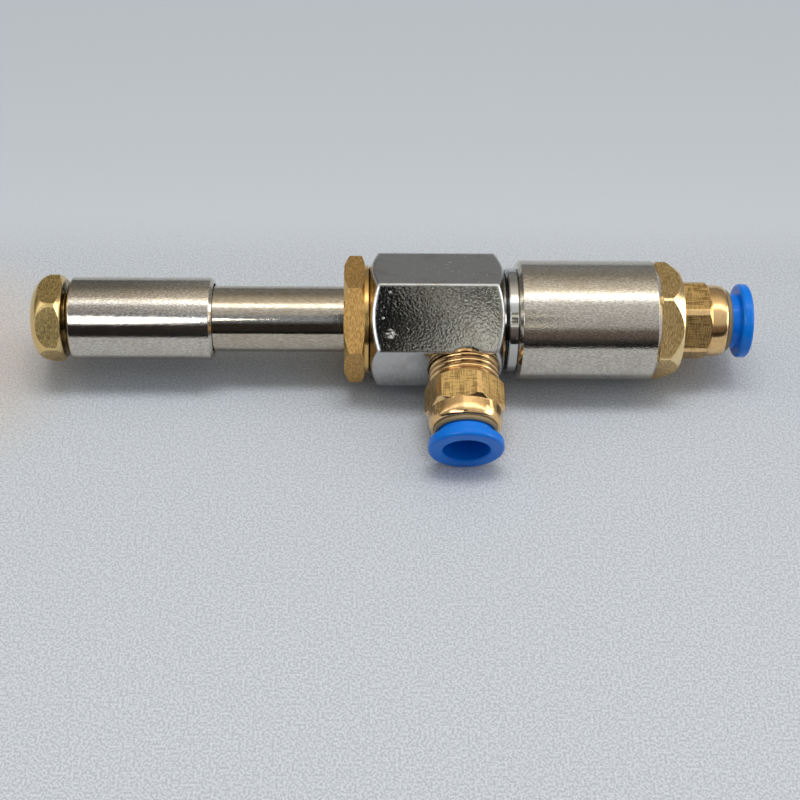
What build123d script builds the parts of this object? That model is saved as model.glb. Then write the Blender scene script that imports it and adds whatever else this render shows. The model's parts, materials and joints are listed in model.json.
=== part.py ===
from build123d import *
from math import atan, cos, degrees, radians, sin, sqrt, tan
import os

# Vortex tube: compressed air enters at the side and leaves cold at one end, hot at the other.
# The tube axis is +X, towards the cold outlet, and +Z is up. The origin is where the axis of
# the side inlet crosses the tube axis. The part lies as it rests on a table, on the lowest
# corner of its hexagonal body and the rim of the inlet's release ring, so the inlet points
# along -Y and a little downwards. Lengths are in millimetres.

# Hexagonal body and its round neck
body_flats = 21.0
body_length = 24.6
inlet_setback = 7.45  # inlet axis to the cold end of the hexagon
body_end_diameter = 18.7  # flat left on the ends by their chamfer
body_lead = 1.75  # length of that chamfer at the corners
neck_groove = 0.4
neck_groove_depth = 1.4
collar_diameter = 19.0
collar_width = 1.8
collar_break = 0.2
spigot_thread = 16.0
spigot_length = 6.5
chamber_diameter = 13.4
cold_bore = 7.0
inlet_tap = 3.1  # depth of the inlet thread below its flat
inlet_passage = 5.0

# Vortex generator and the flanges that clamp it
plenum_lead = 3.6  # inlet axis to the hot side of the plenum
nozzle_length = 6.0
nozzle_diameter = 10.6
nozzle_count = 6
nozzle_width = 0.9
nozzle_depth = 2.0
orifice_plate = 1.6
orifice_diameter = 3.8
diffuser_diameter = 6.4
flange_length = 3.0
flange_seal = 1.0  # section of the rings round both flanges
flange_seal_groove = 1.4

# Gland nut that clamps the hot tube
gland_thread = 15.0
nut_flats = 20.0
nut_thickness = 3.7
nut_end_diameter = 20.2
nut_lead = 0.95
nut_back_diameter = 20.5
nut_back_lead = 0.55
nut_boss = 0.7
nut_boss_diameter = 19.7
nut_turn = 57.0  # a flat's angle up from the inlet, about the tube axis

# Hot tube
tube_diameter = 12.0
tube_bore = 8.0
exposed_tube = 23.65
tube_setback = 1.0  # hot end of the tube, inside its sleeve
valve_depth = 15.0  # hot end of the tube to the valve seat
seat_break = 0.3
port_diameter = 2.6
port_count = 6
port_offset = 3.4  # valve seat to the ring of vent ports

# Hot end sleeve and its felt
hot_sleeve_diameter = 15.0
hot_sleeve_wall = 0.75
hot_sleeve_length = 25.83
hot_sleeve_break = 0.5
land_length = 6.0
land_recess = 1.0
land_recess_diameter = 13.0
hot_felt_length = 16.8

# Regulating plug
vent_gap = 0.92
plug_thread = 10.0
plug_flats = 14.3
plug_head = 5.85
plug_face_diameter = 8.4
plug_dome = 0.9  # bulge of the arc from its face to its corners
plug_corner_cut = 0.2  # turned off its corners
plug_back_diameter = 14.0
plug_crown_start = 3.4
plug_back_lead = 0.95
plug_turn = 45.0
plug_thread_length = 8.75
plug_seal = 1.0
plug_seal_groove = 1.4
plug_land = 0.6
needle_diameter = 8.6
needle_gap = 0.3  # radial, between needle and seat as the plug is set
needle_slope = 30.0
needle_tip_diameter = 2.0

# Cold end sleeve with its felt and perforated tube
cold_sleeve_diameter = 21.8
cold_sleeve_length = 25.15
cold_sleeve_break = 0.6
cold_sleeve_wall = 1.8
perforated_diameter = 9.2
perforated_wall = 0.6
perforated_seat = 1.8
hole_diameter = 2.2
hole_rows = 3
holes_per_row = 6

# Bush between the cold sleeve and the outlet fitting
bush_thread = 18.0
bush_thread_length = 6.4
bush_flats = 19.0
bush_thickness = 4.4
bush_end_diameter = 18.6
bush_lead = 2.4
bush_back_diameter = 21.0
bush_shy = 0.1  # its corners are turned to just under the cold sleeve
bush_back_lead = 0.3
bush_turn = 49.0

# Push-in fittings for 8 mm tube: the same fitting at the inlet and at the cold outlet
fitting_thread = 12.8  # taper thread, at the seat of the hexagon
thread_taper = 1 / 16
fitting_thread_length = 6.0
fitting_flats = 13.0
fitting_hex = 5.5
fitting_corner_cut = 0.3  # turned off the hexagon's corners
fitting_lead = 0.6
fitting_end_diameter = 12.8
fitting_round = 3.1
fitting_round_diameter = 13.1
fitting_nose_length = 1.9
fitting_nose_diameter = 11.7
socket_diameter = 11.3
tube_socket = 8.2
tube_stop = 3.5  # hex seat down to the stop for the tube
fitting_bore = 6.0
seal_floor = 0.3
seal_bore = 10.4
grip_seat = 3.4
grip_steel = 0.3
grip_rim = 0.75
grip_opening = 7.9
grip_drop = 0.7
grip_teeth = 10
grip_slot = 0.5
guide_standout = 0.8
guide_catch = 5.8  # hex seat to the shoulder that keeps the release ring in
guide_recess = 10.6
guide_bore = 10.04
release_neck = 9.84
release_bore = 8.3
release_barb = 10.44
release_barb_length = 0.45
release_gap = 1.6
release_slots = 4
release_slot = 0.8
release_slot_length = 3.0
rim_diameter = 13.5
rim_thickness = 2.0
rim_round = 0.6
mouth_break = 0.25
inlet_standout = 3.35  # thread showing between the body and the inlet's hexagon
inlet_turn = 12.0
outlet_turn = 41.0

# Clearances
thread_gap = 0.05
slip = 0.05
press = 0.02

# Stations along the tube axis, from the hot end to the cold end
hot_face = inlet_setback - body_length
nut_back = hot_face - nut_boss
nut_face = nut_back - nut_thickness
sleeve_inner = nut_face - exposed_tube
sleeve_outer = sleeve_inner - hot_sleeve_length
tube_end = sleeve_outer + tube_setback
valve_seat = tube_end + valve_depth
plug_back = sleeve_outer - vent_gap
plug_face = plug_back - plug_head
plenum_start = -plenum_lead
tube_flange = plenum_start - flange_length
plenum_end = plenum_start + nozzle_length
chamber_end = plenum_end + flange_length
cold_face = inlet_setback
collar_start = cold_face + neck_groove
collar_end = collar_start + collar_width
spigot_end = collar_end + spigot_length
cold_sleeve_end = collar_end + cold_sleeve_length
bush_start = cold_sleeve_end - bush_thread_length
outlet_seat = cold_sleeve_end + bush_thickness

# Stations along a fitting, from the seat of its hexagon
fitting_mouth = fitting_hex + fitting_round
guide_end = fitting_mouth + guide_standout
rim_back = guide_end + release_gap
rim_front = rim_back + rim_thickness
grip_top = grip_seat + grip_steel
barb_top = guide_catch - slip
release_nose = barb_top - release_barb_length

# How the part leans at rest: body corner and release ring both touch the table
body_corner = body_flats / sqrt(3)
inlet_seat = body_flats / 2 + inlet_standout
inlet_reach = inlet_seat + rim_front - rim_round
lean = degrees(atan((body_corner - rim_diameter / 2) / inlet_reach))


def across(angle):
    """A direction across the tube axis, so many degrees up from the inlet's own direction."""
    swing = radians(angle - lean)
    return Vector(0, -cos(swing), sin(swing))


def profile_plane(origin, outwards, radial):
    """A plane for outlines: its x runs along an axis, its y is a direction across that axis."""
    return Plane(origin=origin, x_dir=outwards, z_dir=outwards.cross(radial))


def tube_plane(angle):
    """The outline plane of the tube axis, with y so many degrees up from the inlet."""
    return profile_plane(Vector(0, 0, 0), Vector(1, 0, 0), across(angle))


def thread_radius(station):
    """Radius of a fitting's taper thread, stations counted from the seat of its hexagon."""
    return (fitting_thread + station * thread_taper) / 2


def lathe(*points, plane=Plane.XY, mode=Mode.ADD):
    """Turns an outline of (station, radius) points about the plane's x axis."""
    with BuildSketch(plane) as outline:
        with BuildLine():
            Polyline(*points, close=True)
        make_face()
    revolve(outline.sketch, axis=Axis(plane.origin, plane.x_dir), mode=mode)


def bar(start, end, diameter, plane=Plane.XY, mode=Mode.ADD):
    """Turns a plain cylinder between two stations, or bores one."""
    radius = diameter / 2
    lathe((start, 0), (start, radius), (end, radius), (end, 0), plane=plane, mode=mode)


def bore(start, end, diameter, plane=Plane.XY):
    bar(start, end, diameter, plane, Mode.SUBTRACT)


def taper_bore(start, end, plane):
    """Cuts the tapered hole that takes a fitting's thread."""
    lathe(
        (start, 0),
        (start, thread_radius(start)),
        (end, thread_radius(end)),
        (end, 0),
        plane=plane,
        mode=Mode.SUBTRACT,
    )


def hex_bar(start, end, flats, plane):
    """Hexagonal bar along the plane's x axis, with one flat facing the plane's y."""
    section = Plane(origin=plane.from_local_coords((start, 0, 0)), x_dir=plane.y_dir, z_dir=plane.x_dir)
    with BuildSketch(section) as hexagon:
        RegularPolygon(radius=flats / 2, side_count=6, major_radius=False, rotation=30)
    extrude(hexagon.sketch, amount=end - start)


def trim_ends(start, end, corner, near, far, plane):
    """Turns a hexagonal bar to a corner radius and both its ends to a cone.

    near and far are (face diameter, length) of the two cones.
    """
    lathe(
        (start, 0),
        (start, near[0] / 2),
        (start + near[1], corner),
        (end - far[1], corner),
        (end, far[0] / 2),
        (end, 0),
        plane=plane,
        mode=Mode.INTERSECT,
    )


def cord_ring(station, inner, section):
    """Turns a ring of round section about the tube axis."""
    with BuildSketch(Plane.XY) as cord:
        with Locations((station, (inner + section) / 2)):
            Circle(section / 2 - press)
    revolve(cord.sketch, axis=Axis.X)


def seal_floor_of(outer, section):
    """Diameter of the groove floor under a ring seal that fills up to an outer diameter."""
    return outer - 2 * section


# The inlet fitting screws into a flat of the body, the outlet fitting into the bush
tilt = radians(inlet_turn)
inlet_flat = across(90) * cos(tilt) + Vector(-1, 0, 0) * sin(tilt)
inlet_plane = profile_plane(across(0) * inlet_seat, across(0), inlet_flat)
outlet_plane = profile_plane(Vector(outlet_seat, 0, 0), Vector(1, 0, 0), across(outlet_turn))

os.makedirs("parts", exist_ok=True)

# Chromed body: hexagonal bar, turned neck, stepped bore and the tapped inlet
with BuildPart() as body:
    hex_bar(hot_face, cold_face, body_flats, tube_plane(0))
    body_end = (body_end_diameter, body_lead)
    trim_ends(hot_face, cold_face, body_corner, body_end, body_end, Plane.XY)
    bar(cold_face, collar_start, collar_diameter - 2 * neck_groove_depth)
    collar_radius = collar_diameter / 2
    lathe(
        (collar_start, 0),
        (collar_start, collar_radius - collar_break),
        (collar_start + collar_break, collar_radius),
        (collar_end - collar_break, collar_radius),
        (collar_end, collar_radius - collar_break),
        (collar_end, 0),
    )
    bar(collar_end, spigot_end, spigot_thread - 2 * thread_gap)
    bore(hot_face, tube_flange, gland_thread)
    bore(tube_flange, chamber_end, chamber_diameter)
    bore(chamber_end, spigot_end, cold_bore)
    bore(spigot_end - perforated_seat, spigot_end, perforated_diameter + 2 * press)
    inlet_hole = Plane(origin=(0, 0, 0), x_dir=(1, 0, 0), z_dir=across(0))
    with BuildSketch(inlet_hole):
        Circle(inlet_passage / 2)
    extrude(amount=body_flats, mode=Mode.SUBTRACT)
    taper_bore(-inlet_standout - inlet_tap, -inlet_standout, inlet_plane)
body.part.label = "body"
export_step(body.part, "parts/body.step")

# Hot tube: a flange with a ring groove, a valve seat and a ring of vent ports
flange_diameter = chamber_diameter - 2 * slip
flange_groove = seal_floor_of(chamber_diameter, flange_seal)


def flange_ring_groove(start, end):
    """Cuts the groove for a ring seal at the middle of a flange."""
    middle = (start + end) / 2
    lathe(
        (middle - flange_seal_groove / 2, flange_groove / 2),
        (middle - flange_seal_groove / 2, chamber_diameter / 2),
        (middle + flange_seal_groove / 2, chamber_diameter / 2),
        (middle + flange_seal_groove / 2, flange_groove / 2),
        mode=Mode.SUBTRACT,
    )


with BuildPart() as hot_tube:
    bar(tube_end, plenum_start, tube_diameter)
    bar(tube_flange, plenum_start, flange_diameter)
    flange_ring_groove(tube_flange, plenum_start)
    bore(tube_end, plenum_start, tube_bore)
    bore(tube_end, valve_seat, plug_thread)
    lathe(
        (valve_seat, 0),
        (valve_seat, tube_bore / 2 + seat_break),
        (valve_seat + seat_break, tube_bore / 2),
        (valve_seat + seat_break, 0),
        mode=Mode.SUBTRACT,
    )
    vent_ring = Plane(origin=(valve_seat - port_offset, 0, 0), x_dir=(0, 1, 0), z_dir=(1, 0, 0))
    for spoke in range(port_count):
        outwards = vent_ring.rotated((0, 0, spoke * 360 / port_count)).x_dir
        with BuildSketch(Plane(origin=vent_ring.origin, x_dir=(1, 0, 0), z_dir=outwards)):
            Circle(port_diameter / 2)
        extrude(amount=tube_diameter, mode=Mode.SUBTRACT)
hot_tube.part.label = "hot_tube"
export_step(hot_tube.part, "parts/hot_tube.step")

# Ring seal round the tube's flange
with BuildPart() as hot_tube_seal:
    cord_ring((tube_flange + plenum_start) / 2, flange_groove, flange_seal)
hot_tube_seal.part.label = "hot_tube_seal"
export_step(hot_tube_seal.part, "parts/hot_tube_seal.step")

# Vortex generator: tangential nozzles feed a swirl chamber closed by the cold orifice
swirl_end = plenum_end - orifice_plate
with BuildPart() as vortex_generator:
    bar(plenum_start, plenum_end, nozzle_diameter)
    bar(plenum_end, chamber_end, flange_diameter)
    flange_ring_groove(plenum_end, chamber_end)
    bore(plenum_start, swirl_end, tube_bore)
    bore(swirl_end, chamber_end, orifice_diameter)
    lathe(
        (plenum_end, 0),
        (plenum_end, orifice_diameter / 2),
        (chamber_end, diffuser_diameter / 2),
        (chamber_end, 0),
        mode=Mode.SUBTRACT,
    )
    with BuildSketch(Plane.YZ.offset(plenum_start)):
        with PolarLocations((tube_bore - nozzle_width) / 2, nozzle_count):
            Rectangle(nozzle_width, nozzle_diameter, align=(Align.CENTER, Align.MIN))
    extrude(amount=nozzle_depth, mode=Mode.SUBTRACT)
vortex_generator.part.label = "vortex_generator"
export_step(vortex_generator.part, "parts/vortex_generator.step")

# Ring seal round the generator's flange
with BuildPart() as generator_seal:
    cord_ring((plenum_end + chamber_end) / 2, flange_groove, flange_seal)
generator_seal.part.label = "generator_seal"
export_step(generator_seal.part, "parts/generator_seal.step")

# Gland nut: hexagon, boss against the body and a threaded shank round the tube
with BuildPart() as gland_nut:
    hex_bar(nut_face, nut_back, nut_flats, tube_plane(nut_turn))
    nut_front = (nut_end_diameter, nut_lead)
    trim_ends(nut_face, nut_back, nut_flats / sqrt(3), nut_front, (nut_back_diameter, nut_back_lead), Plane.XY)
    bar(nut_back, hot_face, nut_boss_diameter)
    bar(hot_face, tube_flange, gland_thread - 2 * thread_gap)
    bore(nut_face, tube_flange, tube_diameter + 2 * slip)
gland_nut.part.label = "gland_nut"
export_step(gland_nut.part, "parts/gland_nut.step")

# Hot end sleeve: pressed on the tube at its inner end, open round the plug at the other
hot_sleeve_bore = hot_sleeve_diameter - 2 * hot_sleeve_wall
land_end = sleeve_inner - land_recess
land_start = land_end - land_length
with BuildPart() as hot_sleeve:
    bar(sleeve_outer, sleeve_inner, hot_sleeve_diameter)
    chamfer(hot_sleeve.edges().filter_by(GeomType.CIRCLE), hot_sleeve_break)
    bore(sleeve_outer, land_start, hot_sleeve_bore)
    bore(land_start, land_end, tube_diameter + 2 * press)
    bore(land_end, sleeve_inner, land_recess_diameter)
hot_sleeve.part.label = "hot_sleeve"
export_step(hot_sleeve.part, "parts/hot_sleeve.step")

# Felt wrapped round the vent ports inside the hot sleeve
with BuildPart() as hot_felt:
    bar(land_start - slip - hot_felt_length, land_start - slip, hot_sleeve_bore - 2 * slip)
    bore(land_start - slip - hot_felt_length, land_start - slip, tube_diameter + 2 * slip)
hot_felt.part.label = "hot_felt"
export_step(hot_felt.part, "parts/hot_felt.step")

# Regulating plug: domed hexagonal head, threaded shank with a ring groove, conical needle
shank_end = plug_back + plug_thread_length
groove_start = shank_end
groove_end = groove_start + plug_seal_groove
needle_start = groove_end + plug_land
shank_diameter = plug_thread - 2 * thread_gap
plug_groove = seal_floor_of(plug_thread, plug_seal)
needle_drop = tan(radians(needle_slope))
seat_radius = tube_bore / 2 - needle_gap
cone_start = valve_seat - (needle_diameter / 2 - seat_radius) / needle_drop
cone_end = valve_seat + (seat_radius - needle_tip_diameter / 2) / needle_drop
with BuildPart() as regulating_plug:
    hex_bar(plug_face, plug_back, plug_flats, tube_plane(plug_turn))
    crown = plug_flats / sqrt(3) - plug_corner_cut
    dome_start = Vector(plug_face, plug_face_diameter / 2)
    dome_end = Vector(plug_face + plug_crown_start, crown)
    chord = dome_end - dome_start
    outwards = Vector(-chord.Y, chord.X).normalized()
    with BuildSketch(Plane.XY):
        with BuildLine():
            Line((plug_face, 0), dome_start)
            ThreePointArc(dome_start, dome_start + chord / 2 + outwards * plug_dome, dome_end)
            Polyline(
                dome_end,
                (plug_back - plug_back_lead, crown),
                (plug_back, plug_back_diameter / 2),
                (plug_back, 0),
                (plug_face, 0),
            )
        make_face()
    revolve(axis=Axis.X, mode=Mode.INTERSECT)
    bar(plug_back, shank_end, shank_diameter)
    bar(groove_start, groove_end, plug_groove)
    bar(groove_end, needle_start, shank_diameter)
    lathe(
        (needle_start, 0),
        (needle_start, needle_diameter / 2),
        (cone_start, needle_diameter / 2),
        (cone_end, needle_tip_diameter / 2),
        (cone_end, 0),
    )
regulating_plug.part.label = "regulating_plug"
export_step(regulating_plug.part, "parts/regulating_plug.step")

# Ring seal in the plug's groove
with BuildPart() as regulator_seal:
    cord_ring((groove_start + groove_end) / 2, plug_groove, plug_seal)
regulator_seal.part.label = "regulator_seal"
export_step(regulator_seal.part, "parts/regulator_seal.step")

# Cold end sleeve: tapped at both ends, with a chamber for the felt between them
cold_chamber = cold_sleeve_diameter - 2 * cold_sleeve_wall
with BuildPart() as cold_sleeve:
    bar(collar_end, cold_sleeve_end, cold_sleeve_diameter)
    chamfer(cold_sleeve.edges().filter_by(GeomType.CIRCLE), cold_sleeve_break)
    bore(collar_end, spigot_end, spigot_thread)
    bore(spigot_end, bush_start, cold_chamber)
    bore(bush_start, cold_sleeve_end, bush_thread)
cold_sleeve.part.label = "cold_sleeve"
export_step(cold_sleeve.part, "parts/cold_sleeve.step")

# Perforated tube that carries the cold air past the felt
perforated_start = spigot_end - perforated_seat
perforated_end = bush_start + perforated_seat
felt_start = spigot_end + slip
felt_end = bush_start - slip
row_pitch = (felt_end - felt_start) / (hole_rows + 1)
with BuildPart() as perforated_tube:
    bar(perforated_start, perforated_end, perforated_diameter)
    bore(perforated_start, perforated_end, perforated_diameter - 2 * perforated_wall)
    for row in range(hole_rows):
        station = felt_start + (row + 1) * row_pitch
        half_turn = 180 / holes_per_row * (row % 2)
        for hole in range(holes_per_row):
            angle = radians(half_turn + 360 / holes_per_row * hole)
            with BuildSketch(Plane(origin=(station, 0, 0), x_dir=(1, 0, 0), z_dir=(0, cos(angle), sin(angle)))):
                Circle(hole_diameter / 2)
            extrude(amount=perforated_diameter, mode=Mode.SUBTRACT)
perforated_tube.part.label = "perforated_tube"
export_step(perforated_tube.part, "parts/perforated_tube.step")

with BuildPart() as cold_felt:
    bar(felt_start, felt_end, cold_chamber - 2 * slip)
    bore(felt_start, felt_end, perforated_diameter + 2 * slip)
cold_felt.part.label = "cold_felt"
export_step(cold_felt.part, "parts/cold_felt.step")

# Bush: screws into the cold sleeve and takes the outlet fitting
fitting_hole_end = outlet_seat - fitting_thread_length - 2 * slip
with BuildPart() as cold_bush:
    hex_bar(cold_sleeve_end, outlet_seat, bush_flats, tube_plane(bush_turn))
    trim_ends(
        cold_sleeve_end,
        outlet_seat,
        cold_sleeve_diameter / 2 - bush_shy,
        (bush_back_diameter, bush_back_lead),
        (bush_end_diameter, bush_lead),
        Plane.XY,
    )
    bar(bush_start, cold_sleeve_end, bush_thread - 2 * thread_gap)
    bore(bush_start, perforated_end, perforated_diameter + 2 * press)
    bore(perforated_end, fitting_hole_end, perforated_diameter - 2 * perforated_wall)
    taper_bore(fitting_hole_end - outlet_seat, 0, outlet_plane)
cold_bush.part.label = "cold_bush"
export_step(cold_bush.part, "parts/cold_bush.step")

def fitting_body(plane):
    """Brass body: hexagon, thread, and a round shoulder that is turned in at its mouth."""
    with BuildPart() as fitting:
        hex_bar(0, fitting_hex, fitting_flats, plane)
        shoulder = (fitting_round_diameter, fitting_lead)
        front = (fitting_end_diameter, fitting_lead)
        corner = fitting_flats / sqrt(3) - fitting_corner_cut
        trim_ends(0, fitting_hex, corner, front, shoulder, plane)
        with BuildSketch(plane):
            with BuildLine():
                nose_start = fitting_mouth - fitting_nose_length
                Polyline(
                    (fitting_mouth, 0),
                    (fitting_hex - fitting_lead, 0),
                    (fitting_hex - fitting_lead, fitting_round_diameter / 2),
                    (nose_start, fitting_round_diameter / 2),
                )
                EllipticalCenterArc(
                    (nose_start, fitting_nose_diameter / 2),
                    fitting_nose_length,
                    (fitting_round_diameter - fitting_nose_diameter) / 2,
                    arc_size=90,
                )
                Line((fitting_mouth, fitting_nose_diameter / 2), (fitting_mouth, 0))
            make_face()
        revolve(axis=Axis(plane.origin, plane.x_dir))
        lathe(
            (-fitting_thread_length, 0),
            (-fitting_thread_length, thread_radius(-fitting_thread_length) - thread_gap),
            (0, thread_radius(0) - thread_gap),
            (0, 0),
            plane=plane,
        )
        bore(grip_seat, fitting_mouth, socket_diameter, plane)
        bore(seal_floor, grip_seat, seal_bore, plane)
        bore(-tube_stop, seal_floor, tube_socket, plane)
        bore(-fitting_thread_length, -tube_stop, fitting_bore, plane)
    return fitting.part


def tube_seal(plane):
    """Rubber ring that grips the tube: flat outside, rounded to a lip inside."""
    top = grip_seat - grip_drop - slip
    outer = seal_bore / 2 - press
    inner = grip_opening / 2
    with BuildPart() as seal:
        with BuildSketch(plane):
            with BuildLine():
                Polyline(
                    (seal_floor + slip, inner + 0.4 * (outer - inner)),
                    (seal_floor + slip, outer),
                    (top, outer),
                    (top, inner + 0.4 * (outer - inner)),
                )
                ThreePointArc(
                    (top, inner + 0.4 * (outer - inner)),
                    ((seal_floor + slip + top) / 2, inner),
                    (seal_floor + slip, inner + 0.4 * (outer - inner)),
                )
            make_face()
        revolve(axis=Axis(plane.origin, plane.x_dir))
    return seal.part


def grip_ring(plane):
    """Spring steel ring whose slanting teeth bite the tube."""
    rim_radius = socket_diameter / 2 - press
    tooth_root = rim_radius - grip_rim
    tip = grip_opening / 2
    with BuildPart() as ring:
        lathe(
            (grip_seat, tooth_root),
            (grip_seat, rim_radius),
            (grip_top, rim_radius),
            (grip_top, tooth_root),
            (grip_top - grip_drop, tip),
            (grip_seat - grip_drop, tip),
            plane=plane,
        )
        section = Plane(origin=plane.origin, x_dir=plane.y_dir, z_dir=plane.x_dir)
        with BuildSketch(section.offset(grip_seat - grip_drop)):
            with PolarLocations((tip + tooth_root) / 2, grip_teeth):
                Rectangle(tooth_root - tip + grip_slot, grip_slot)
        extrude(amount=grip_steel + grip_drop, mode=Mode.SUBTRACT)
    return ring.part


def guide_ring(plane):
    """Plastic ring in the mouth that guides the release ring and keeps it from pulling out."""
    radius = socket_diameter / 2 - press
    with BuildPart() as guide:
        lathe(
            (grip_top, guide_recess / 2),
            (grip_top, radius),
            (guide_end - mouth_break, radius),
            (guide_end, radius - mouth_break),
            (guide_end, guide_bore / 2),
            (guide_catch, guide_bore / 2),
            (guide_catch, guide_recess / 2),
            plane=plane,
        )
    return guide.part


def release_ring(plane):
    """Plastic ring that is pressed in to free the tube: rim, neck and a slotted, barbed skirt."""
    with BuildPart() as release:
        with BuildSketch(plane) as outline:
            with BuildLine():
                Polyline(
                    (release_nose, release_bore / 2),
                    (release_nose, release_neck / 2),
                    (barb_top - release_barb_length / 2, release_barb / 2),
                    (barb_top, release_barb / 2),
                    (barb_top, release_neck / 2),
                    (rim_back, release_neck / 2),
                    (rim_back, rim_diameter / 2),
                    (rim_front, rim_diameter / 2),
                    (rim_front, release_bore / 2 + mouth_break),
                    (rim_front - mouth_break, release_bore / 2),
                    close=True,
                )
            make_face()
            rim_corners = outline.vertices().group_by(Axis.Y)[-1]
            fillet(rim_corners, rim_round)
        revolve(axis=Axis(plane.origin, plane.x_dir))
        section = Plane(origin=plane.origin, x_dir=plane.y_dir, z_dir=plane.x_dir)
        with BuildSketch(section.offset(release_nose)):
            with PolarLocations((release_bore + release_neck) / 4, release_slots):
                Rectangle(release_neck / 2, release_slot)
        extrude(amount=release_slot_length, mode=Mode.SUBTRACT)
    return release.part


# Both fittings, piece by piece
for place, plane in [("inlet", inlet_plane), ("outlet", outlet_plane)]:
    pieces = {
        "fitting_body": fitting_body(plane),
        "tube_seal": tube_seal(plane),
        "grip_ring": grip_ring(plane),
        "guide_ring": guide_ring(plane),
        "release_ring": release_ring(plane),
    }
    for name, piece in pieces.items():
        piece.label = f"{place}_{name}"
        export_step(piece, f"parts/{place}_{name}.step")

print(f"lean {lean:.3f} degrees, table at z = {-body_corner * cos(radians(lean)):.3f}")
print(f"overall length {outlet_seat + rim_front - plug_face:.3f}")
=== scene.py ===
# %% [markdown]
# Dressing a vortex tube
#
# A vortex tube is a small pneumatic part. Compressed air is pushed in at the side and spins in the
# long tube. It leaves hot at the end with the small nut and cold at the end with the large sleeve.
# The shapes come from a packed CAD model and stay as they are. This lesson gives them their metals
# and plastics, cuts the threads that show, and sets up the table, the light and the camera.

# %% Load the frame
from math import asin, cos, degrees, pi, radians, sin, sqrt
import json
import bmesh
import bpy
from mathutils import Matrix, Vector


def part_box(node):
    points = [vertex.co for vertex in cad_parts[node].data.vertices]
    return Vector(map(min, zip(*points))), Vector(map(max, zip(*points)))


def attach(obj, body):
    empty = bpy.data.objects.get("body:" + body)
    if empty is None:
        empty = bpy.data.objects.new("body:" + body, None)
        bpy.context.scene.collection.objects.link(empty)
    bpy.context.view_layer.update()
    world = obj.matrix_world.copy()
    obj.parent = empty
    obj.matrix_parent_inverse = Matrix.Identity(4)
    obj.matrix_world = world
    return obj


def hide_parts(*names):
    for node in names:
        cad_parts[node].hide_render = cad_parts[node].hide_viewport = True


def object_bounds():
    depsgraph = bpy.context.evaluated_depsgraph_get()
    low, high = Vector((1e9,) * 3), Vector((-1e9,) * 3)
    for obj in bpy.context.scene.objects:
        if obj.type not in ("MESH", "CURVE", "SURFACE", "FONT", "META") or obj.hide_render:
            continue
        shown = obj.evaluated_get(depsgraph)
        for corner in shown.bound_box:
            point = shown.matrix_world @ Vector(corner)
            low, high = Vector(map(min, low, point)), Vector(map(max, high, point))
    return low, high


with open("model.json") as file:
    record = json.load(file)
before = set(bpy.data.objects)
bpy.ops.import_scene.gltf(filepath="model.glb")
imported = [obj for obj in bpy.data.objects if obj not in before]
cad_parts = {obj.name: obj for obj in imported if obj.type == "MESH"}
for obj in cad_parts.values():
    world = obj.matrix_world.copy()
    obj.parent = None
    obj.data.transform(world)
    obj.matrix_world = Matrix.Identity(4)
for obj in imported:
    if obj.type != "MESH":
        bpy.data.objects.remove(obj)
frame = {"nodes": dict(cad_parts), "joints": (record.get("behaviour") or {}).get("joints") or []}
cad_low, cad_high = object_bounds()
nodes = frame["nodes"]
scene = bpy.context.scene
mm = 0.001
print("nodes:", len(nodes), "- size in mm:", [round(side / mm, 2) for side in cad_high - cad_low])

# %% [markdown]
# Milling marks and threads follow the axis of the fitting that they are on, so the script needs
# those axes. They could be typed in, but the joints of the release rings give them: each blue ring
# is pressed inwards, and its fitting points the other way. The tube axis is X. Directions across
# the tube are counted in degrees up from the inlet, because that is how the hexagons are turned.

# %% Axes of the fittings
joints = {joint["name"]: joint for joint in frame["joints"]}
tube_out = Vector((1, 0, 0))
inlet_out = -Vector(joints["inlet_release_push"]["axis"]).normalized()
up_from_inlet = inlet_out.cross(tube_out)


def across(turn):
    """A direction across the tube axis, that many degrees up from the inlet's own direction."""
    return inlet_out * cos(radians(turn)) + up_from_inlet * sin(radians(turn))


print("the inlet leans down by", round(degrees(asin(-inlet_out.z)), 1), "degrees")

# %% [markdown]
# The camera looks down at the part from the front, about 50 degrees above the table and 27 cm away.
# That is close, so the distance matters as much as the angle: it decides how the hexagons' flats
# spread. The camera could be turned by three angles, but a card hangs beside the lens later on and
# needs the same directions, so the view is built from those. It is rolled by a degree or two, as
# it is where no tripod is used.

# %% Directions of the view
height_angle = radians(50.42)
side_angle = radians(-1.96)
roll_angle = radians(1.68)
lens_distance = 270.8 * mm
aim = Vector((-11.35, -11.22, -9.59)) * mm

camera_back = Vector((
    sin(side_angle) * cos(height_angle),
    -cos(side_angle) * cos(height_angle),
    sin(height_angle),
))
level_right = Vector((cos(side_angle), sin(side_angle), 0))
level_up = camera_back.cross(level_right)
camera_right = level_right * cos(roll_angle) + level_up * sin(roll_angle)
camera_up = level_up * cos(roll_angle) - level_right * sin(roll_angle)
lens_place = aim + camera_back * lens_distance
print("the camera stands at", [round(side / mm) for side in lens_place], "mm")


# %% Camera
def facing(place, right, up, back):
    """A matrix for something at a place, with these directions as its own X, Y and Z."""
    turned = Matrix((right, up, back)).transposed().to_4x4()
    return Matrix.Translation(place) @ turned


camera_data = bpy.data.cameras.new("camera")
camera_data.lens = 66.5
camera_data.sensor_width = 36
camera_data.clip_start = 0.01
camera = bpy.data.objects.new("camera", camera_data)
camera.matrix_world = facing(lens_place, camera_right, camera_up, camera_back)
scene.collection.objects.link(camera)
scene.camera = camera
scene.view_settings.view_transform = "Standard"
print("its view is", round(degrees(camera_data.angle), 1), "degrees wide")

# %% [markdown]
# Finishes are networks of nodes. They could be wired one link at a time, but a sum is easier to
# read. A Wire holds one output socket, and each operator on it adds a Math node: 1 - mask, a + b * 2
# and so on. It works only for numbers, because a Math node would turn a colour grey.

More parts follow.
